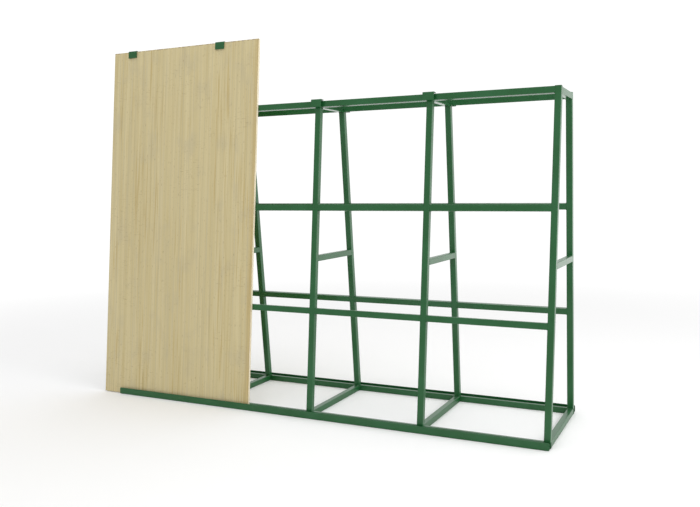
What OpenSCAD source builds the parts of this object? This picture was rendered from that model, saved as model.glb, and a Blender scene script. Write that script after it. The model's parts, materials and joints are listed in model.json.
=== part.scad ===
// Double-sided A-frame rack that stores sheets and boards on edge.
// +X runs along the rack, +Y to its rear face and +Z up. The origin is on the floor, under the middle frame.
// Frames are numbered from the left end. Each side of the rack is a flat ladder of legs and rails, called
// a panel, that leans in towards the other one. Inside a panel, x runs along the rack, y is the depth in
// from the outer face of the legs and z runs up along the legs.

/* [Rack] */
// Length over the outer faces of the end legs
rack_length = 3066; // [2400:2:3600]
// Height of the outer top edge of the panels
rack_height = 2005; // [1800:5:2200]
// Depth over the outer lips of the base
base_depth = 800; // [700:5:950]
// Depth over the outer faces of the legs at the top
top_depth = 354; // [320:2:460]
// Number of bays, one less than the number of frames
bays = 4; // [2:1:4]

/* [Tubes] */
// Outer width of the square tube in the legs, rails, spreaders and crossbars
tube = 38; // [36:1:42]
// Wall of that tube
tube_wall = 2; // [1.5:0.5:2.5]
// Outer corner radius of every square tube
tube_corner = 4; // [3:0.5:5]
// Height of the spreaders' underside above the floor
spreader_height = 987; // [900:1:1100]
// Thickness of the bent flat bar that ties the tops of the inner frames
tie_gauge = 6; // [4:1:8]

/* [Base] */
// Width of the rectangular tube in the base rails, which is as high as the crossbars
base_rail = 25; // [20:1:30]
// Thickness of the lip angles
angle_gauge = 3; // [2:0.5:4]
// Width of the slot between each base rail and its lip
slot_width = 32; // [24:1:50]
// Height of each lip above the floor
lip_height = 45; // [42:1:60]
// Radius that rounds off the corners at the ends of the lips
lip_end_radius = 8; // [4:1:12]

/* [Retainers] */
// Outer width of the square post that slides in a leg
post = 28; // [24:1:28]
// Wall of the post
post_wall = 2; // [1.5:0.5:2.5]
// Length of the post
post_length = 760; // [700:10:900]
// Width of the hook
hook_width = 72; // [50:1:90]
// Thickness of the hook's steel
hook_gauge = 4; // [3:0.5:5]
// Height of the hook's front tab
hook_drop = 50; // [40:1:70]
// Gap between the tab and the outer face of the leg
hook_gap = 23; // [23:0.5:40]
// Height of the collar of the guide bush that a lowered hook rests on
bush_collar = 3; // [2:0.5:6]

/* [Sheet] */
// Width of the stored sheet, along the rack
sheet_width = 1235; // [900:5:1250]
// Height of the stored sheet
sheet_height = 2445; // [2300:5:2500]
// Thickness of the stored sheet
sheet_thickness = 18; // [12:1:22]
// How far the sheet stands out past the left end leg
sheet_overhang = 151; // [0:1:250]

/* [Hidden] */
$fn = 48;
// Space left between parts that slide, at rest
running_gap = 0.5;
// Space between the bush and the post that slides in it, on each side
bush_play = 0.3;
// Space between the bush or cap and the inside of the leg, on each side
spigot_play = 0.1;
// Length of the bush inside the leg, and of the cap's spigot
bush_length = 40;
cap_length = 15;
// Thickness of the cap's visible plate
cap_plate = 2;
// How far the strap of a hook reaches in over the leg before it narrows to the post
strap_reach = 10;
// Inner radius of the bends in the folded steel
bend = 2;
// Larger than any cross-section that is cut
beyond = 200;

frames = bays + 1;
frame_pitch = (rack_length - tube) / bays;

// Outer face of the base rails
base_rail_y = base_depth / 2 - angle_gauge - slot_width;
// Outer face of the legs where they stand on the base rails and crossbars
foot_y = base_rail_y + running_gap;
lean = atan((foot_y - top_depth / 2) / (rack_height - tube));
// Outer face of the front legs, carried down to the floor
panel_y = -foot_y - tube * tan(lean);
// Length of a panel from the floor to its top edge, measured along the legs
panel_height = rack_height / cos(lean);
// The rails divide the panel below its top rail into equal thirds
rail_step = (panel_height - tube) / 3;
// Top of the end rails, level with the inner top edge of the legs
end_rail_top = rack_height - tube * sin(lean);

sheet_foot = (angle_gauge + running_gap) / cos(lean);
sheet_top = sheet_foot + sheet_height;
// Underside of a hook's strap, when it is down on its bush and when it is up on the sheet
strap_down = panel_height + bush_collar + running_gap;
strap_up = sheet_top + running_gap;

function frame_x(k) = (k - 1) * frame_pitch - (rack_length - tube) / 2;
// Inner face of the front legs at a height above the floor
function inner_y(height) = panel_y + tube / cos(lean) + height * tan(lean);
// The hooks on the front of the first two frames are up, on the sheet
function strap_height(side, k) = side == "front" && k <= 2 ? strap_up : strap_down;

SIDES = ["front", "rear"];
LEVELS = ["lower", "upper", "top"];

GREEN = [0.13, 0.38, 0.19];
PLASTIC = [0.05, 0.10, 0.06];
TIMBER = [0.80, 0.72, 0.54];

// Rectangle with round corners, centred on the origin
module rounded_rectangle(width, height, radius) {
    union() {
        square([width, height - 2 * radius], center = true);
        square([width - 2 * radius, height], center = true);
        for (x = [-1, 1], y = [-1, 1])
            translate([x * (width / 2 - radius), y * (height / 2 - radius)])
                circle(r = radius);
    }
}

// Square with round corners, centred on the origin
module rounded_square(size, radius) {
    rounded_rectangle(size, size, radius);
}

// Square tube along z, standing on the origin
module square_tube(size, wall, length) {
    linear_extrude(length)
        difference() {
            rounded_square(size, tube_corner);
            rounded_square(size - 2 * wall, tube_corner - wall);
        }
}

// Square tube along x, with its middle at the origin
module tube_along_x(size, wall, length) {
    translate([-length / 2, 0, 0])
        rotate([0, 90, 0])
            square_tube(size, wall, length);
}

// Square tube along y, with its middle at the origin
module tube_along_y(size, wall, length) {
    translate([0, length / 2, 0])
        rotate([90, 0, 0])
            square_tube(size, wall, length);
}

// Places its children in the front or the rear panel
module in_panel(side) {
    mirror([0, side == "rear" ? 1 : 0, 0])
        translate([0, panel_y, 0])
            rotate([-lean, 0, 0])
                children();
}

// Keeps the part of its children that lies between the inner faces of the front and rear legs
module between_legs(bottom, top) {
    intersection() {
        children();
        translate([-beyond / 2, 0, 0])
            rotate([90, 0, 90])
                linear_extrude(beyond)
                    polygon([
                        [inner_y(bottom), bottom],
                        [-inner_y(bottom), bottom],
                        [-inner_y(top), top],
                        [inner_y(top), top]
                    ]);
    }
}

// Section of a lip angle: x is the depth in from its outer face, y is up
module angle_section() {
    outer = bend + angle_gauge;
    width = angle_gauge + slot_width;
    difference() {
        union() {
            translate([0, outer])
                square([outer, lip_height - outer]);
            translate([outer, 0])
                square([width - outer, outer]);
            translate([outer, outer])
                circle(r = outer);
        }
        translate([angle_gauge, outer])
            square([width, lip_height]);
        translate([outer, angle_gauge])
            square([width, lip_height]);
        translate([outer, outer])
            circle(r = bend);
    }
}

// Rectangular tube along the floor that the feet of the legs stand on
module base_rail(side) {
    color(GREEN)
        mirror([0, side == "rear" ? 1 : 0, 0])
            translate([-rack_length / 2, -base_rail_y + base_rail / 2, tube / 2])
                rotate([90, 0, 90])
                    linear_extrude(rack_length)
                        difference() {
                            rounded_rectangle(base_rail, tube, tube_corner);
                            rounded_rectangle(base_rail - 2 * tube_wall, tube - 2 * tube_wall, tube_corner - tube_wall);
                        }
}

// Folded angle welded along a base rail, whose lip keeps the feet of the sheets in
module lip_angle(side) {
    color(GREEN)
        mirror([0, side == "rear" ? 1 : 0, 0])
            intersection() {
                translate([-rack_length / 2, -base_depth / 2, 0])
                    rotate([90, 0, 90])
                        linear_extrude(rack_length)
                            angle_section();
                translate([0, 0, lip_height / 2])
                    rotate([90, 0, 0])
                        linear_extrude(base_depth)
                            rounded_rectangle(rack_length, lip_height, lip_end_radius);
            }
}

// Tube between the base rails, in line with a pair of legs
module base_crossbar(k) {
    color(GREEN)
        translate([frame_x(k), 0, tube / 2])
            tube_along_y(tube, tube_wall, 2 * (base_rail_y - base_rail));
}

// Leaning leg, cut level at its foot and square at its top
module leg(side, k) {
    color(GREEN)
        in_panel(side)
            difference() {
                translate([frame_x(k), tube / 2, 0])
                    square_tube(tube, tube_wall, panel_height);
                rotate([lean, 0, 0])
                    translate([frame_x(k) - beyond / 2, -beyond / 2, tube - beyond])
                        cube(beyond);
            }
}

// The rails of one level, one length of tube in each bay
module rails(side, level) {
    step = search([level], LEVELS)[0] + 1;
    color(GREEN)
        in_panel(side)
            for (k = [1:bays])
                translate([frame_x(k) + frame_pitch / 2, tube / 2, step * rail_step + tube / 2])
                    tube_along_x(tube, tube_wall, frame_pitch - tube);
}

// Level tube between the front and rear legs at half height
module spreader(k) {
    color(GREEN)
        translate([frame_x(k), 0, 0])
            between_legs(spreader_height, spreader_height + tube)
                translate([0, 0, spreader_height + tube / 2])
                    tube_along_y(tube, tube_wall, base_depth);
}

// Level tube between the tops of the legs of an end frame
module end_rail(k) {
    color(GREEN)
        translate([frame_x(k), 0, 0])
            between_legs(end_rail_top - tube, end_rail_top)
                translate([0, 0, end_rail_top - tube / 2])
                    tube_along_y(tube, tube_wall, base_depth);
}

// Flat bar between the tops of the legs of an inner frame, with its ends turned up against them
module top_tie(k) {
    bottom = end_rail_top - tube;
    floor_half = inner_y(bottom + tie_gauge) + tie_gauge;
    mouth_half = inner_y(end_rail_top + 1) + tie_gauge;
    color(GREEN)
        translate([frame_x(k), 0, 0])
            difference() {
                between_legs(bottom, end_rail_top)
                    translate([-tube / 2, -top_depth / 2, bottom])
                        cube([tube, top_depth, tube]);
                translate([-tube, 0, 0])
                    rotate([90, 0, 90])
                        linear_extrude(2 * tube)
                            polygon([
                                [floor_half, bottom + tie_gauge],
                                [-floor_half, bottom + tie_gauge],
                                [-mouth_half, end_rail_top + 1],
                                [mouth_half, end_rail_top + 1]
                            ]);
            }
}

// Post that slides inside a leg and carries a hook
module retainer_post(side, k) {
    color(GREEN)
        in_panel(side)
            translate([frame_x(k), tube / 2, strap_height(side, k) - post_length])
                square_tube(post, post_wall, post_length);
}

// Section of a hook, seen from its end: x is the depth in from the tab's outer face, y is up
module hook_section() {
    outer = bend + hook_gauge;
    reach = hook_gauge + hook_gap + strap_reach;
    difference() {
        union() {
            square([outer, hook_drop - outer]);
            translate([outer, hook_drop - outer])
                circle(r = outer);
            translate([outer, hook_drop - outer])
                square([reach - outer, outer]);
        }
        translate([hook_gauge, -1])
            square([reach, hook_drop - outer + 1]);
        translate([outer, hook_drop - outer])
            circle(r = bend);
        translate([outer, hook_drop - outer - 1])
            square([reach, bend + 1]);
    }
}

// Folded hook that closes over the top edge of a sheet, welded to the top of its post
module retainer_hook(side, k) {
    underside = strap_height(side, k);
    tab_face = -hook_gap - hook_gauge;
    color(GREEN)
        in_panel(side)
            translate([frame_x(k), 0, underside])
                union() {
                    translate([-hook_width / 2, tab_face, hook_gauge - hook_drop])
                        rotate([90, 0, 90])
                            linear_extrude(hook_width)
                                hook_section();
                    translate([-post / 2, 0, 0])
                        cube([post, (tube + post) / 2, hook_gauge]);
                }
}

// Plastic bush in the top of a leg, with a collar that stands on the leg
module guide_bush() {
    bore = post + 2 * bush_play;
    spigot = tube - 2 * tube_wall - 2 * spigot_play;
    difference() {
        union() {
            linear_extrude(bush_collar)
                rounded_square(tube, tube_corner);
            translate([0, 0, -bush_length])
                linear_extrude(bush_length)
                    rounded_square(spigot, tube_corner - tube_wall);
        }
        translate([-bore / 2, -bore / 2, -bush_length - 1])
            cube([bore, bore, bush_length + bush_collar + 2]);
    }
}

// The bushes of all the legs that hold a post
module guide_bushes() {
    color(PLASTIC)
        for (side = SIDES, k = [1:bays])
            in_panel(side)
                translate([frame_x(k), tube / 2, panel_height])
                    guide_bush();
}

// Plastic caps that close the tops of the legs of the right-hand frame, which hold no posts
module leg_caps() {
    spigot = tube - 2 * tube_wall - 2 * spigot_play;
    color(PLASTIC)
        for (side = SIDES)
            in_panel(side)
                translate([frame_x(frames), tube / 2, panel_height])
                    union() {
                        linear_extrude(cap_plate)
                            rounded_square(tube, tube_corner);
                        translate([0, 0, -cap_length])
                            linear_extrude(cap_length)
                                rounded_square(spigot, tube_corner - tube_wall);
                    }
}

// Timber sheet that stands in the front slot and leans on the front legs
module sheet() {
    color(TIMBER)
        in_panel("front")
            translate([-rack_length / 2 - sheet_overhang, -sheet_thickness - running_gap, sheet_foot])
                cube([sheet_width, sheet_thickness, sheet_height]);
}

module show(name) {
    children();
}

for (side = SIDES) show(str(side, "_base_rail")) base_rail(side);
for (side = SIDES) show(str(side, "_lip_angle")) lip_angle(side);
for (k = [1:frames]) show(str("base_crossbar_", k)) base_crossbar(k);
for (side = SIDES, k = [1:frames]) show(str(side, "_leg_", k)) leg(side, k);
for (side = SIDES, level = LEVELS) show(str(side, "_", level, "_rails")) rails(side, level);
for (k = [1:frames]) show(str("spreader_", k)) spreader(k);
end_rail(1);  // end_rail_left
end_rail(frames);  // end_rail_right
for (k = [2:bays]) show(str("top_tie_", k)) top_tie(k);
for (side = SIDES, k = [1:bays]) show(str(side, "_retainer_post_", k)) retainer_post(side, k);
for (side = SIDES, k = [1:bays]) show(str(side, "_retainer_hook_", k)) retainer_hook(side, k);
guide_bushes();
leg_caps();
sheet();
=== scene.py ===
"""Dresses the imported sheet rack: enamel paint, weld beads, timber and plastic, with its studio and camera."""
import json
import logging
import math
from dataclasses import dataclass, field
from enum import Enum
from typing import Any, Iterable, Sequence, Union

import bmesh
import bpy
from mathutils import Euler, Matrix, Vector


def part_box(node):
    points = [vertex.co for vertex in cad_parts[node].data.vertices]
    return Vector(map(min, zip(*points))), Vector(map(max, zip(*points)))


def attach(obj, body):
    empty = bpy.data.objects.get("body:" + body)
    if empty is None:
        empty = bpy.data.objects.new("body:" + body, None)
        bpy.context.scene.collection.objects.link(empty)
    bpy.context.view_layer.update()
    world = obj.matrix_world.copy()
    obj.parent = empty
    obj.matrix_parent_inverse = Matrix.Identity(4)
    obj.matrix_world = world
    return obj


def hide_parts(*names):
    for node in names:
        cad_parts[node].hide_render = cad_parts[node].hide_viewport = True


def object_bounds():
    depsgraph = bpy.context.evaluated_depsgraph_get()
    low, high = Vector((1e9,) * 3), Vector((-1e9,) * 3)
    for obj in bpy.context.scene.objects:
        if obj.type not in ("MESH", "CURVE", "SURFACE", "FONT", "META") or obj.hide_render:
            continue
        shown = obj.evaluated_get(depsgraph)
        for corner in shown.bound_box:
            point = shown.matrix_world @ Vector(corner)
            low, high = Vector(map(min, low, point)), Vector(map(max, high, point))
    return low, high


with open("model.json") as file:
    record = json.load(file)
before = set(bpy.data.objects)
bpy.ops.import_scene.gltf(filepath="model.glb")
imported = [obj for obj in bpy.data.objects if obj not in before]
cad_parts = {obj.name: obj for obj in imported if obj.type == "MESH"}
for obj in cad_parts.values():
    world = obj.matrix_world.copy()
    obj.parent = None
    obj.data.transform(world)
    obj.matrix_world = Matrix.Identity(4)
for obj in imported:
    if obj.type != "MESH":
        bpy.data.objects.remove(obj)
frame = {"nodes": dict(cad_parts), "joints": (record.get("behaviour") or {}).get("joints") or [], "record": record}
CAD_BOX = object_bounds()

log = logging.getLogger("sheet_rack")

Colour = tuple[float, float, float]
Number = Union[float, "Value"]
MM = 0.001


class Side(Enum):
    """A face of the rack. Its value is the sign of Y on that side."""

    FRONT = -1
    REAR = 1

    @property
    def word(self) -> str:
        """The side's name as the CAD nodes write it."""
        return self.name.lower()


class Level(Enum):
    """A row of rails."""

    LOWER = "lower"
    UPPER = "upper"
    TOP = "top"


# ---------------------------------------------------------------- shader maths


class Value:
    """A number that changes over a surface: a node's output socket with the usual operators."""

    def __init__(self, graph: "Graph", socket: bpy.types.NodeSocket) -> None:
        """Keeps the graph that the socket's node is in.

        Args:
            graph: The material's graph.
            socket: The output socket that holds the number.
        """
        self.graph = graph
        self.socket = socket

    def _math(self, operation: str, first: Number, second: Number) -> "Value":
        """One Math node.

        Args:
            operation: The Math node's operation.
            first: Its first input.
            second: Its second input.

        Returns:
            The node's result.
        """
        made = self.graph.node("ShaderNodeMath", {"operation": operation}, {0: first, 1: second})
        return Value(self.graph, made.outputs[0])

    def __add__(self, other: Number) -> "Value":
        """self + other."""
        return self._math("ADD", self, other)

    __radd__ = __add__

    def __sub__(self, other: Number) -> "Value":
        """self - other."""
        return self._math("SUBTRACT", self, other)

    def __rsub__(self, other: Number) -> "Value":
        """other - self."""
        return self._math("SUBTRACT", other, self)

    def __mul__(self, other: Number) -> "Value":
        """self * other."""
        return self._math("MULTIPLY", self, other)

    __rmul__ = __mul__

    def size(self) -> "Value":
        """self without its sign."""
        return self._math("ABSOLUTE", self, 0.0)

    def ramp(self, low: float, high: float) -> "Value":
        """0 below low and 1 above high, with a smooth step between them.

        Args:
            low: Where the step starts.
            high: Where it ends. It may be lower than low, which turns the step round.

        Returns:
            The step, from 0 to 1.
        """
        settings = {"interpolation_type": "SMOOTHSTEP"}
        inputs = {"Value": self, "From Min": low, "From Max": high}
        made = self.graph.node("ShaderNodeMapRange", settings, inputs)
        return Value(self.graph, made.outputs[0])


class Graph:
    """The node tree of one new material, with its Principled shader."""

    def __init__(self, name: str, roughness: float, specular: float) -> None:
        """Makes the material.

        Args:
            name: The material's name.
            roughness: The shader's roughness where nothing is linked to it.
            specular: The shader's specular level.
        """
        self.material = bpy.data.materials.new(name)
        self.material.use_nodes = True
        self.tree = self.material.node_tree
        self.shader = self.tree.nodes["Principled BSDF"]
        self.shader.inputs["Roughness"].default_value = roughness
        self.shader.inputs["Specular IOR Level"].default_value = specular

    def node(self, kind: str, settings: dict[str, Any], inputs: dict[Any, Any]) -> bpy.types.Node:
        """Makes any node.

        Args:
            kind: The node's type.
            settings: Its properties, which are set first. "stops" gives a ramp's (place, colour) pairs.
            inputs: Its sockets' values, or the links that go into them.

        Returns:
            The new node.
        """
        made = self.tree.nodes.new(kind)
        for key, setting in settings.items():
            if key == "stops":
                self._set_stops(made.color_ramp, setting)
            else:
                setattr(made, key, setting)
        for key, given in inputs.items():
            self.feed(made.inputs[key], given)
        return made

    @staticmethod
    def _set_stops(ramp: bpy.types.ColorRamp, stops: Sequence[tuple[float, Colour]]) -> None:
        """Gives a colour ramp its stops.

        Args:
            ramp: The ramp, which has two stops when it is new.
            stops: Each stop's place and colour.
        """
        while len(ramp.elements) < len(stops):
            ramp.elements.new(1.0)
        for element, (place, colour) in zip(ramp.elements, stops):
            element.position = place
            element.color = (*colour, 1.0)

    def feed(self, socket: bpy.types.NodeSocket, given: Any) -> None:
        """Sets a socket, or links it.

        Args:
            socket: The input socket.
            given: A Value, an output socket, a colour, a vector or a number.
        """
        if isinstance(given, Value):
            given = given.socket
        if isinstance(given, bpy.types.NodeSocket):
            self.tree.links.new(given, socket)
        elif socket.type == "RGBA":
            socket.default_value = (*given, 1.0)
        else:
            socket.default_value = given

    def place(self, scale: Sequence[float] = (1, 1, 1), turn: float = 0.0) -> bpy.types.NodeSocket:
        """The point on the surface, in metres in the object's frame.

        Args:
            scale: What each axis is multiplied by, after the turn.
            turn: A turn about X, in radians.

        Returns:
            The point's socket.
        """
        point = self.node("ShaderNodeTexCoord", {}, {}).outputs["Object"]
        turned = self.node("ShaderNodeMapping", {}, {"Vector": point, "Rotation": (turn, 0, 0)})
        made = self.node("ShaderNodeMapping", {}, {"Vector": turned.outputs[0], "Scale": tuple(scale)})
        return made.outputs[0]

    def axis(self, point: bpy.types.NodeSocket, letter: str) -> Value:
        """One coordinate of a point.

        Args:
            point: The point's socket.
            letter: X, Y or Z.

        Returns:
            The coordinate.
        """
        return Value(self, self.node("ShaderNodeSeparateXYZ", {}, {0: point}).outputs[letter])

    def noise(self, point: bpy.types.NodeSocket, scale: float, detail: float = 2.0,
              mix: float = 0.5) -> Value:
        """Soft noise from 0 to 1.

        Args:
            point: Where it is read.
            scale: How many cells it has to a unit.
            detail: How many finer layers are added.
            mix: How strong the finer layers are.

        Returns:
            The noise.
        """
        inputs = {"Vector": point, "Scale": scale, "Detail": detail, "Roughness": mix}
        return Value(self, self.node("ShaderNodeTexNoise", {}, inputs).outputs[0])

    def blend(self, amount: Number, first: Any, second: Any) -> bpy.types.NodeSocket:
        """Mixes two colours.

        Args:
            amount: 0 for the first colour and 1 for the second.
            first: A colour or its socket.
            second: A colour or its socket.

        Returns:
            The mixed colour's socket.
        """
        made = self.node("ShaderNodeMix", {"data_type": "RGBA"}, {})
        self.feed(made.inputs[0], amount)
        self.feed(made.inputs[6], first)
        self.feed(made.inputs[7], second)
        return made.outputs[2]

    def bump(self, height: Value, depth: float, strength: float = 1.0) -> None:
        """Raises the surface by a height map.

        Args:
            height: The map, from 0 to 1.
            depth: The height, in metres, that 1 stands for.
            strength: How much of the bump shows.
        """
        inputs = {"Height": height, "Distance": depth, "Strength": strength}
        made = self.node("ShaderNodeBump", {}, inputs)
        self.feed(self.shader.inputs["Normal"], made.outputs[0])


# ---------------------------------------------------------------- finishes


@dataclass(frozen=True)
class Marks:
    """A noise, and the smooth step that turns it into marks of one strength."""

    cells: float
    detail: float
    start: float = 0.0
    end: float = 1.0
    strength: float = 1.0
    mix: float = 0.5
    along: float = 0.0

    def of(self, noise: Value) -> Value:
        """Turns a noise into marks.

        Args:
            noise: The noise, from 0 to 1.

        Returns:
            The marks, from 0 to the strength.
        """
        return noise.ramp(self.start, self.end) * self.strength


@dataclass(frozen=True)
class Enamel:
    """Glossy enamel sprayed on steel: orange peel, dust and a painted grey sheen on the upper faces, and fine
    scuffs low down.
    """

    name: str = "green_enamel"
    colour: Colour = (0.009, 0.088, 0.021)
    thin: Colour = (0.014, 0.104, 0.031)
    # Grey for up-facing faces: partly dust, partly a painted sheen standing for the glare on glossy tops.
    dust_and_sheen_grey: Colour = (0.105, 0.150, 0.125)
    scuffed: Colour = (0.060, 0.140, 0.085)
    roughness: float = 0.30
    specular: float = 0.42
    cloud: Marks = Marks(5.0, 3.0, 0.35, 0.68)
    film: Marks = Marks(60.0, 3.0)
    cloud_share: float = 0.9
    upward: tuple[float, float] = (0.60, 0.98)
    dust_and_sheen: Marks = Marks(35.0, 4.0, 0.25, 0.75, 0.40, 0.6)
    streak_cells: Colour = (26.0, 190.0, 190.0)
    scuffs: Marks = Marks(1.0, 3.0, 0.66, 0.72, 1.0, 0.6)
    scuffed_below: float = 0.35
    scuffs_low: float = 0.55
    scuffs_high: float = 0.12
    film_roughness: float = 0.04
    scuff_roughness: float = 0.20
    dust_roughness: float = 0.25
    peel: Marks = Marks(380.0, 1.0)
    scuff_depth: float = 0.5
    peel_depth: float = 0.000005

    def material(self) -> bpy.types.Material:
        """Builds the node tree.

        Returns:
            The material.
        """
        graph = Graph(self.name, self.roughness, self.specular)
        point = graph.place()
        cloud = graph.noise(point, self.cloud.cells, self.cloud.detail)
        film = graph.noise(point, self.film.cells, self.film.detail)
        shade = self.cloud.of(cloud * self.cloud_share + film * (1.0 - self.cloud_share))
        coat = graph.blend(shade, self.colour, self.thin)

        # Up-facing faces are mixed towards grey in patches: partly dust, partly a painted sheen for the glare of
        # the bright surround on the tops.
        normal = graph.node("ShaderNodeNewGeometry", {}, {}).outputs["Normal"]
        upward = graph.axis(normal, "Z").ramp(*self.upward)
        dust_and_sheen = upward * self.dust_and_sheen.of(graph.noise(point, self.dust_and_sheen.cells, self.dust_and_sheen.detail, self.dust_and_sheen.mix))
        coat = graph.blend(dust_and_sheen, coat, self.dust_and_sheen_grey)

        drawn_out = graph.place(self.streak_cells)
        streaks = graph.noise(drawn_out, self.scuffs.cells, self.scuffs.detail, self.scuffs.mix)
        low = graph.axis(point, "Z").ramp(self.scuffed_below, 0.0)
        scuffs = self.scuffs.of(streaks) * (low * self.scuffs_low + self.scuffs_high)
        coat = graph.blend(scuffs, coat, self.scuffed)
        graph.feed(graph.shader.inputs["Base Color"], coat)

        rough = film * self.film_roughness + (self.roughness - self.film_roughness / 2)
        rough = rough + scuffs * self.scuff_roughness + dust_and_sheen * self.dust_roughness
        graph.feed(graph.shader.inputs["Roughness"], rough)
        peel = graph.noise(point, self.peel.cells, self.peel.detail)
        graph.bump(peel - scuffs * self.scuff_depth, self.peel_depth)
        return graph.material


@dataclass(frozen=True)
class Moulding:
    """Moulded plastic with a fine spark-eroded grain and a soft sheen."""

    name: str = "dark_green_plastic"
    colour: Colour = (0.010, 0.055, 0.018)
    rubbed: Colour = (0.018, 0.075, 0.028)
    roughness: float = 0.46
    specular: float = 0.4
    rubbing: Marks = Marks(90.0, 4.0, 0.45, 0.75, 1.0, 0.6)
    rub_roughness: float = 0.16
    grain: Marks = Marks(1100.0, 3.0, mix=0.6)
    grain_depth: float = 0.00012

    def material(self) -> bpy.types.Material:
        """Builds the node tree.

        Returns:
            The material.
        """
        graph = Graph(self.name, self.roughness, self.specular)
        point = graph.place()
        rubbing = graph.noise(point, self.rubbing.cells, self.rubbing.detail, self.rubbing.mix)
        coat = graph.blend(self.rubbing.of(rubbing), self.colour, self.rubbed)
        graph.feed(graph.shader.inputs["Base Color"], coat)
        rough = rubbing * self.rub_roughness + (self.roughness - self.rub_roughness / 2)
        graph.feed(graph.shader.inputs["Roughness"], rough)
        grain = graph.noise(point, self.grain.cells, self.grain.detail, self.grain.mix)
        graph.bump(grain, self.grain_depth)
        return graph.material


@dataclass(frozen=True)
class Timber:
    """A pale softwood panel of narrow upright staves, with fine grain, resin streaks and flecks."""

    lean: float
    high: Vector
    name: str = "pale_timber"
    pale: Colour = (0.605, 0.520, 0.298)
    warm: Colour = (0.508, 0.418, 0.208)
    resin: Colour = (0.440, 0.315, 0.110)
    grey: Colour = (0.452, 0.396, 0.258)
    fleck: Colour = (0.250, 0.170, 0.090)
    # Pale colour of the side faces: the sawn edge with a painted highlight on it.
    pale_edge_and_highlight: Colour = (0.780, 0.690, 0.520)
    roughness: float = 0.62
    specular: float = 0.3
    staves: Marks = Marks(26.0, 1.0, 0.36, 0.64, 0.45, along=0.5)
    bands: Marks = Marks(120.0, 2.0, 0.48, 0.68, 0.45, along=0.8)
    lines: Marks = Marks(300.0, 3.0, 0.50, 0.68, 0.42, 0.6, 2.0)
    patches: Marks = Marks(6.0, 1.0, 0.42, 0.62, 0.45, along=1.4)
    patch_floor: float = 0.15
    resin_streaks: Marks = Marks(85.0, 2.0, 0.53, 0.66, along=1.8)
    weathering: Marks = Marks(8.0, 3.0, 0.50, 0.72, 0.35, along=5.0)
    edge_band: tuple[float, float] = (0.045, 0.012)
    edge_bands: float = 0.7
    edge_floor: float = 0.1
    flecks: Marks = Marks(150.0, 1.0, 0.68, 0.74, 0.50, along=40.0)
    ticks: Marks = Marks(30.0, 1.0, 0.66, 0.74, along=300.0)
    tick_groups: Marks = Marks(3.0, 1.0, 0.50, 0.62, 0.45, along=3.0)
    chips: Marks = Marks(60.0, 1.0, 0.46, 0.54, 0.85, along=60.0)
    chip_start: float = 0.010
    chip_end: float = 0.004
    end_lines: Marks = Marks(160.0, 2.0, 0.4, 0.7, 0.5, along=5.0)
    sideways: tuple[float, float] = (0.6, 0.9)
    line_roughness: float = 0.12
    line_height: float = 0.6
    band_height: float = 0.4
    grain_depth: float = 0.0002
    grain_strength: float = 0.6

    def material(self) -> bpy.types.Material:
        """Builds the node tree.

        Returns:
            The material.
        """
        graph = Graph(self.name, self.roughness, self.specular)
        point = graph.place(turn=self.lean)

        def grain(marks: Marks) -> Value:
            """Noise that is drawn out along the staves.

            Args:
                marks: How many cells to a metre it has, across the staves and along them.

            Returns:
                The noise.
            """
            drawn_out = graph.place((marks.cells, marks.cells, marks.along), self.lean)
            return graph.noise(drawn_out, 1.0, marks.detail, marks.mix)

        bands = grain(self.bands)
        lines = grain(self.lines)
        face = graph.blend(self.staves.of(grain(self.staves)), self.pale, self.warm)
        face = graph.blend(self.bands.of(bands), face, self.grey)
        face = graph.blend(self.lines.of(lines), face, self.warm)
        patches = self.patches.of(grain(self.patches)) + self.patch_floor
        face = graph.blend(self.resin_streaks.of(grain(self.resin_streaks)) * patches, face, self.resin)
        face = graph.blend(self.weathering.of(grain(self.weathering)), face, self.grey)
        across_edge = (self.high.x - graph.axis(point, "X")).ramp(*self.edge_band)
        face = graph.blend(across_edge * (bands * self.edge_bands + self.edge_floor), face, self.resin)

        flecks = self.flecks.of(grain(self.flecks))
        ticks = self.ticks.of(grain(self.ticks)) * self.tick_groups.of(grain(self.tick_groups))
        face = graph.blend(flecks, face, self.fleck)
        face = graph.blend(ticks, face, self.fleck)

        top = self._top_of_face()
        rim = graph.axis(point, "Z").ramp(top - self.chip_start, top - self.chip_end)
        face = graph.blend(rim * self.chips.of(grain(self.chips)), face, self.fleck)

        # Faces turned sideways take a much paler colour: the sawn edge together with a painted highlight along it.
        normal = graph.node("ShaderNodeNewGeometry", {}, {}).outputs["Normal"]
        sideways = graph.axis(normal, "X").size().ramp(*self.sideways)
        edge = graph.blend(self.end_lines.of(grain(self.end_lines)), self.pale_edge_and_highlight, self.warm)
        graph.feed(graph.shader.inputs["Base Color"], graph.blend(sideways, face, edge))
        rough = lines * self.line_roughness + (self.roughness - self.line_roughness / 2)
        graph.feed(graph.shader.inputs["Roughness"], rough)
        height = lines * self.line_height + bands * self.band_height - flecks
        graph.bump(height, self.grain_depth, self.grain_strength)
        return graph.material

    def _top_of_face(self) -> float:
        """Height of the panel's top edge in the turned frame of the pattern."""
        return self.high.z * math.cos(self.lean) + self.high.y * math.sin(self.lean)


# ---------------------------------------------------------------- the rack


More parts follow.
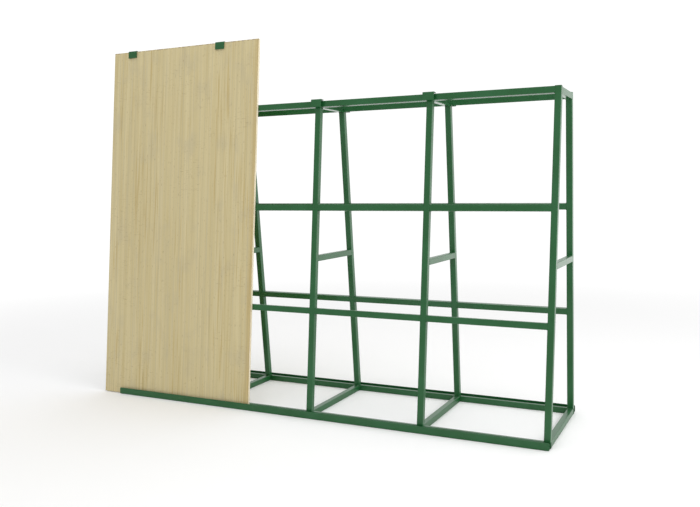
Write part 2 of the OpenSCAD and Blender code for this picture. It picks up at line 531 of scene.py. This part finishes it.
@dataclass(frozen=True)
class Plan:
    """Where the rack's members are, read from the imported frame. All sizes are in metres."""

    lean: float
    foot_y: float
    foot_z: float
    tube: float
    frame_x: tuple[float, ...]
    rail_v: dict[Level, float]

    @classmethod
    def read(cls) -> "Plan":
        """Works the plan out from the CAD nodes and the retainers' joint axes.

        Returns:
            The plan.
        """
        slide = next(j for j in frame["joints"] if j["name"] == "front_retainer_1_slide")
        lean = math.atan2(slide["axis"][1], slide["axis"][2])
        low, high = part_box("front_leg_1")
        tube = high.x - low.x
        legs = sorted(name for name in frame["nodes"] if name.startswith("front_leg_"))
        frame_x = tuple(sum(corner.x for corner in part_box(name)) / 2 for name in legs)
        rail_v = {}
        for level in Level:
            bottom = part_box(f"front_{level.value}_rails")[0].z
            rail_v[level] = (bottom + tube * math.sin(lean)) / math.cos(lean)
        return cls(lean, low.y, low.z, tube, frame_x, rail_v)

    def panel(self, side: Side, x: float, depth: float, up: float) -> Vector:
        """A point in a leaning panel.

        Args:
            side: Which panel.
            x: Place along the rack.
            depth: Distance in from the legs' outer face.
            up: Distance up along the legs from the floor.

        Returns:
            The point in the rack's frame.
        """
        start = self.foot_y - self.foot_z * math.tan(self.lean)
        y = start + depth * math.cos(self.lean) + up * math.sin(self.lean)
        z = -depth * math.sin(self.lean) + up * math.cos(self.lean)
        return Vector((x, -y * side.value, z))

    def outer_y(self, side: Side, z: float) -> float:
        """Y of the legs' outer face at a height above the floor."""
        return -(self.foot_y + (z - self.foot_z) * math.tan(self.lean)) * side.value

    def inner_y(self, side: Side, z: float) -> float:
        """Y of the legs' inner face at a height above the floor."""
        return self.outer_y(side, z) - self.tube / math.cos(self.lean) * side.value

    def inward(self, frame_x: float) -> tuple[int, ...]:
        """The sides of a frame that face another frame: both, or one at the rack's ends."""
        if frame_x == self.frame_x[0]:
            return (1,)
        if frame_x == self.frame_x[-1]:
            return (-1,)
        return (-1, 1)


def finish_piece(name: str, mesh: bmesh.types.BMesh, material: bpy.types.Material,
                 smooth: bool) -> bpy.types.Object:
    """Turns a bmesh into an object at the origin.

    Args:
        name: The piece's name.
        mesh: The shape, which is freed.
        material: Its material.
        smooth: Whether its faces are shaded smooth.

    Returns:
        The new object.
    """
    bmesh.ops.recalc_face_normals(mesh, faces=mesh.faces)
    for face in mesh.faces:
        face.smooth = smooth
    data = bpy.data.meshes.new(name)
    mesh.to_mesh(data)
    mesh.free()
    data.materials.append(material)
    piece = bpy.data.objects.new(name, data)
    bpy.context.scene.collection.objects.link(piece)
    return piece


@dataclass
class SteelWork:
    """The CAD nodes of the rack itself, which keep their shape and get a finish and broken edges."""

    finishes: dict[str, bpy.types.Material]
    folded: tuple[str, ...] = ("lip_angle", "hook", "top_tie", "caps", "bushes")
    edge_break: float = 0.6 * MM
    sharp: float = math.radians(40)
    weld_gap: float = 0.01 * MM
    segments: int = 2
    profile: float = 0.5

    def dress(self) -> int:
        """Gives every CAD node the material of its slot, and breaks the sharp edges.

        Returns:
            How many nodes were dressed.
        """
        slots = {part["node"]: part["material_slot"] for part in frame["record"]["subparts"]}
        for name, node in frame["nodes"].items():
            node.data.materials.clear()
            node.data.materials.append(self.finishes[slots[name]])
            if any(word in name for word in self.folded):
                self._break_edges(node)
        return len(frame["nodes"])

    def _break_edges(self, node: bpy.types.Object) -> None:
        """Adds a small bevel to a node's sharp edges.

        Args:
            node: The CAD node's object.
        """
        weld = node.modifiers.new("weld", "WELD")
        weld.merge_threshold = self.weld_gap
        bevel = node.modifiers.new("edge_break", "BEVEL")
        bevel.limit_method = "ANGLE"
        bevel.angle_limit = self.sharp
        bevel.width = self.edge_break
        bevel.segments = self.segments
        bevel.profile = self.profile


@dataclass
class WeldBeads:
    """Fillet welds at the rack's joints, each a rippled bead with rounded ends."""

    plan: Plan
    paint: bpy.types.Material
    radius: float = 2.4 * MM
    ripple_pitch: float = 2.6 * MM
    ripple: float = 0.10
    sides: int = 8
    steps_per_ripple: int = 2
    inset: float = 4.0 * MM
    end_size: float = 0.45
    lift_share: float = 0.3
    fewest_steps: int = 6
    count: int = field(default=0, init=False)

    def _bead(self, mesh: bmesh.types.BMesh, start: Vector, end: Vector, radius: float) -> None:
        """Adds one bead.

        Args:
            mesh: The shape that it is added to.
            start: One end.
            end: The other end.
            radius: The bead's radius.
        """
        run = end - start
        steps = max(self.fewest_steps, self.steps_per_ripple * round(run.length / self.ripple_pitch))
        turn = run.to_track_quat("Z", "Y").to_matrix().to_4x4()
        place = Matrix.Translation(start) @ turn
        ring = bmesh.ops.create_circle(
            mesh, segments=self.sides, radius=radius * self.end_size, matrix=place)["verts"]
        edges = list({edge for vertex in ring for edge in vertex.link_edges})
        bmesh.ops.contextual_create(mesh, geom=edges)
        size = self.end_size
        for step in range(1, steps + 1):
            grown = bmesh.ops.extrude_edge_only(mesh, edges=edges)["geom"]
            ring = [part for part in grown if isinstance(part, bmesh.types.BMVert)]
            edges = [part for part in grown if isinstance(part, bmesh.types.BMEdge)]
            rippled = 1.0 - self.ripple * (step % self.steps_per_ripple)
            wanted = self.end_size if step == steps else rippled
            bmesh.ops.translate(mesh, verts=ring, vec=run / steps)
            centre = start + run * (step / steps)
            bmesh.ops.scale(mesh, verts=ring, vec=(wanted / size,) * 3, space=Matrix.Translation(-centre))
            size = wanted
        bmesh.ops.contextual_create(mesh, geom=edges)
        self.count += 1

    @property
    def lift(self) -> float:
        """How far a bead's centre stands off the corner that it fills."""
        return self.lift_share * self.radius

    def _finish(self, name: str, mesh: bmesh.types.BMesh) -> None:
        """Makes the beads a piece of the fixed frame.

        Args:
            name: The piece's name.
            mesh: The beads.
        """
        piece = finish_piece(name, mesh, self.paint, smooth=True)
        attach(piece, "rack_frame")
        log.info("%s: %d faces", name, len(piece.data.polygons))

    def rails(self, side: Side, level: Level) -> None:
        """Welds one row of rails to its legs.

        Args:
            side: Which panel.
            level: Which row.
        """
        plan = self.plan
        mesh = bmesh.new()
        bottom = plan.rail_v[level]
        top = bottom + plan.tube
        for left, right in zip(plan.frame_x, plan.frame_x[1:]):
            for leg, toward in ((left, 1), (right, -1)):
                x = leg + toward * (plan.tube / 2 + self.lift)
                seam = leg + toward * plan.tube / 2
                edges = [bottom - self.lift]
                if level is not Level.TOP:
                    edges.append(top + self.lift)
                for up in edges:
                    self._bead(mesh, plan.panel(side, x, self.inset, up),
                               plan.panel(side, x, plan.tube - self.inset, up), self.radius)
                for depth in (self.radius, plan.tube - self.radius):
                    self._bead(mesh, plan.panel(side, seam, depth, bottom + self.inset),
                               plan.panel(side, seam, depth, top - self.inset), self.radius)
        self._finish(f"{side.word}_{level.value}_rail_welds", mesh)

    def crosswise(self, name: str, nodes: Iterable[str]) -> None:
        """Welds level members to the inner faces of the legs.

        Args:
            name: The new piece's name.
            nodes: The members, each a CAD node.
        """
        mesh = bmesh.new()
        for node in nodes:
            low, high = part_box(node)
            for side in Side:
                self._ring(mesh, side, low, high)
        self._finish(name, mesh)

    def _ring(self, mesh: bmesh.types.BMesh, side: Side, low: Vector, high: Vector) -> None:
        """Welds one end of a level member, along its two sides, its top and its bottom.

        Args:
            mesh: The shape that the beads are added to.
            side: Which panel's legs it meets.
            low: The member's lowest corner.
            high: Its highest corner.
        """
        lift = self.lift

        def corner(x: float, z: float) -> Vector:
            """A point just off the leg's inner face."""
            return Vector((x, self.plan.inner_y(side, z) - side.value * lift, z))

        left, right = low.x + self.inset, high.x - self.inset
        for z in (low.z - lift, high.z + lift):
            self._bead(mesh, corner(left, z), corner(right, z), self.radius)
        flank = (high.x - low.x) / 2 - self.radius
        for toward in (-1, 1):
            x = (low.x + high.x) / 2 + toward * flank
            self._bead(mesh, corner(x, low.z + self.inset), corner(x, high.z - self.inset), self.radius)

    def feet(self) -> None:
        """Welds the legs' feet to the base rails and crossbars, and the crossbars to the base rails."""
        plan = self.plan
        mesh = bmesh.new()
        rail_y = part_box("base_crossbar_1")[1].y
        low_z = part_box("front_base_rail")[0].z + self.inset
        lift = self.lift
        half = plan.tube / 2
        for frame_x in plan.frame_x:
            for side in Side:
                back = plan.inner_y(side, plan.foot_z) - lift * side.value
                across = half - self.inset
                self._bead(mesh, Vector((frame_x - across, back, plan.foot_z + lift)),
                           Vector((frame_x + across, back, plan.foot_z + lift)), self.radius)
                for toward in plan.inward(frame_x):
                    flank = frame_x + toward * (half + lift)
                    outer = (rail_y + self.inset) * side.value
                    self._bead(mesh, Vector((flank, outer, plan.foot_z + lift)),
                               Vector((flank, plan.outer_y(side, plan.foot_z) - self.inset * side.value,
                                       plan.foot_z + lift)), self.radius)
                    corner = (rail_y - lift) * side.value
                    self._bead(mesh, Vector((flank, corner, low_z)),
                               Vector((flank, corner, plan.foot_z - self.inset)), self.radius)
        self._finish("foot_welds", mesh)

    def build(self) -> None:
        """Adds every weld of the frame."""
        for side in Side:
            for level in Level:
                self.rails(side, level)
        names = sorted(frame["nodes"])
        self.crosswise("spreader_welds", [name for name in names if name.startswith("spreader_")])
        self.crosswise("end_rail_welds", [name for name in names if name.startswith("end_rail_")])
        self.crosswise("top_tie_welds", [name for name in names if name.startswith("top_tie_")])
        self.feet()


@dataclass
class StoredSheet:
    """The timber sheet in the front channel, with eased edges."""

    plan: Plan
    timber: bpy.types.Material
    node: str = "sheet"
    ease: float = 0.8 * MM
    thickness: float = 18 * MM

    def build(self) -> None:
        """Makes the sheet in place of its plain CAD solid."""
        low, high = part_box(self.node)
        lean = self.plan.lean
        rise = high.y - low.y - self.thickness * math.cos(lean)
        height = rise / math.sin(lean)
        width = high.x - low.x
        mesh = bmesh.new()
        bmesh.ops.create_cube(mesh, size=1.0)
        bmesh.ops.scale(mesh, verts=mesh.verts, vec=(width, self.thickness, height))
        bmesh.ops.bevel(mesh, geom=mesh.edges[:], offset=self.ease, segments=2, profile=0.5,
                        affect="EDGES", material=-1)
        bmesh.ops.rotate(mesh, verts=mesh.verts, cent=(0, 0, 0), matrix=Matrix.Rotation(-lean, 3, "X"))
        bmesh.ops.translate(mesh, verts=mesh.verts, vec=(low + high) / 2)
        piece = finish_piece("timber_sheet", mesh, self.timber, smooth=False)
        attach(piece, "stored_sheet")
        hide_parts(self.node)
        log.info("timber_sheet: %.3f x %.3f m", width, height)


# ---------------------------------------------------------------- studio


@dataclass(frozen=True)
class Softbox:
    """A square area light."""

    name: str
    place: tuple[float, float, float]
    aim: tuple[float, float, float]
    width: float
    power: float

    def build(self) -> None:
        """Hangs the light and turns it to its aim."""
        data = bpy.data.lights.new(self.name, "AREA")
        data.shape = "SQUARE"
        data.size = self.width
        data.energy = self.power
        lamp = bpy.data.objects.new(self.name, data)
        bpy.context.scene.collection.objects.link(lamp)
        lamp.location = self.place
        lamp.rotation_euler = (Vector(self.aim) - Vector(self.place)).to_track_quat("-Z", "Y").to_euler()


@dataclass(frozen=True)
class Viewpoint:
    """The camera: where it stands, how it is turned, and its lens."""

    place: tuple[float, float, float] = (2.3547, -4.4366, 1.4415)
    turn: float = math.radians(24.625)
    tilt: float = math.radians(-5.198)
    roll: float = math.radians(-0.544)
    lens: float = 38.666
    shift: tuple[float, float] = (-0.0385, 0.0062)
    sensor: float = 36.0
    reach: float = 200.0

    def build(self) -> None:
        """Makes the camera and gives it to the scene."""
        data = bpy.data.cameras.new("camera")
        data.sensor_width = self.sensor
        data.lens = self.lens
        data.shift_x, data.shift_y = self.shift
        data.clip_end = self.reach
        camera = bpy.data.objects.new("camera", data)
        bpy.context.scene.collection.objects.link(camera)
        level = Euler((math.pi / 2 + self.tilt, 0, self.turn)).to_matrix().to_4x4()
        camera.matrix_world = Matrix.Translation(self.place) @ level @ Matrix.Rotation(self.roll, 4, "Z")
        bpy.context.scene.camera = camera


@dataclass(frozen=True)
class Studio:
    """A plain pale floor that runs out into a white surround, with soft light from above and the right."""

    floor_size: float = 120.0
    floor_colour: Colour = (0.88, 0.88, 0.88)
    surround: tuple[float, float] = (0.58, 1.12)
    back_wall: float = 0.45
    far_floor: float = 1.80
    backdrop: float = 1.05
    fade_start: float = 3.0
    fade_end: float = 9.0
    floor_gap: float = 0.3 * MM
    floor_roughness: float = 0.9
    floor_specular: float = 0.1
    back_start: float = 0.2
    back_end: float = 0.9

    def build(self) -> None:
        """Makes the floor, the surround and the lights."""
        self._floor()
        self._world()
        for box in (
            Softbox("overhead", (0.5, -1.0, 6.0), (0.0, 0.0, 0.0), 5.0, 90.0),
            Softbox("key_right", (6.0, -1.0, 3.5), (0.4, 0.0, 1.0), 3.0, 95.0),
        ):
            box.build()
        bpy.context.scene.view_settings.view_transform = "Standard"

    def _floor(self) -> None:
        """Lays the floor just under the rack."""
        mesh = bmesh.new()
        bmesh.ops.create_grid(mesh, x_segments=1, y_segments=1, size=self.floor_size / 2)
        bmesh.ops.translate(mesh, verts=mesh.verts, vec=(0, 0, CAD_BOX[0].z - self.floor_gap))
        graph = Graph("studio_floor", self.floor_roughness, self.floor_specular)
        graph.feed(graph.shader.inputs["Base Color"], self.floor_colour)
        length = graph.node("ShaderNodeVectorMath", {"operation": "LENGTH"}, {0: graph.place()})
        away = length.outputs["Value"]
        rays = graph.node("ShaderNodeLightPath", {}, {}).outputs
        seen = Value(graph, rays["Is Camera Ray"])
        mirrored = Value(graph, rays["Is Glossy Ray"])
        lit = graph.node("ShaderNodeEmission", {}, {"Strength": self.far_floor})
        plain = graph.node("ShaderNodeEmission", {}, {"Strength": self.backdrop})
        glow = graph.node("ShaderNodeMixShader", {}, {0: seen, 1: lit.outputs[0], 2: plain.outputs[0]})
        behind = graph.axis(graph.place(), "Y").ramp(self.fade_start, self.fade_end)
        fade = Value(graph, away).ramp(self.fade_start, self.fade_end) * seen + behind * mirrored
        layers = {0: fade, 1: graph.shader.outputs[0], 2: glow.outputs[0]}
        both = graph.node("ShaderNodeMixShader", {}, layers)
        graph.feed(graph.tree.nodes["Material Output"].inputs["Surface"], both.outputs[0])
        finish_piece("studio_floor", mesh, graph.material, smooth=False)

    def _world(self) -> None:
        """Fills the surround with light, stronger on the right and at the back.

        Where the camera looks straight at it, the surround has the backdrop's strength instead.
        """
        world = bpy.data.worlds.new("surround")
        world.use_nodes = True
        bpy.context.scene.world = world
        tree = world.node_tree
        back = tree.nodes["Background"]
        back.inputs["Color"].default_value = (1.0, 1.0, 1.0, 1.0)
        way = tree.nodes.new("ShaderNodeTexCoord")
        parts = tree.nodes.new("ShaderNodeSeparateXYZ")
        tree.links.new(way.outputs["Generated"], parts.inputs[0])
        side = tree.nodes.new("ShaderNodeMapRange")
        side.inputs["From Min"].default_value = -1.0
        side.inputs["To Min"].default_value, side.inputs["To Max"].default_value = self.surround
        tree.links.new(parts.outputs["X"], side.inputs["Value"])
        rear = tree.nodes.new("ShaderNodeMapRange")
        rear.interpolation_type = "SMOOTHSTEP"
        rear.inputs["From Min"].default_value = self.back_start
        rear.inputs["From Max"].default_value = self.back_end
        rear.inputs["To Max"].default_value = self.back_wall
        tree.links.new(parts.outputs["Y"], rear.inputs["Value"])
        total = tree.nodes.new("ShaderNodeMath")
        tree.links.new(side.outputs[0], total.inputs[0])
        tree.links.new(rear.outputs[0], total.inputs[1])
        path = tree.nodes.new("ShaderNodeLightPath")
        level = tree.nodes.new("ShaderNodeMapRange")
        level.inputs["To Max"].default_value = self.backdrop
        tree.links.new(path.outputs["Is Camera Ray"], level.inputs["Value"])
        tree.links.new(total.outputs[0], level.inputs["To Min"])
        tree.links.new(level.outputs[0], back.inputs["Strength"])


def main() -> None:
    """Builds the camera, the studio and every dressed piece."""
    logging.basicConfig(level=logging.INFO, format="%(message)s")
    Viewpoint().build()
    Studio().build()
    plan = Plan.read()
    paint = Enamel().material()
    plastic = Moulding().material()
    timber = Timber(plan.lean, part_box("sheet")[1]).material()
    steel = SteelWork({"green_paint": paint, "plastic": plastic, "timber": timber})
    log.info("dressed %d nodes", steel.dress())
    welds = WeldBeads(plan, paint)
    welds.build()
    log.info("%d weld beads", welds.count)
    StoredSheet(plan, timber).build()


if __name__ == "__main__":
    main()
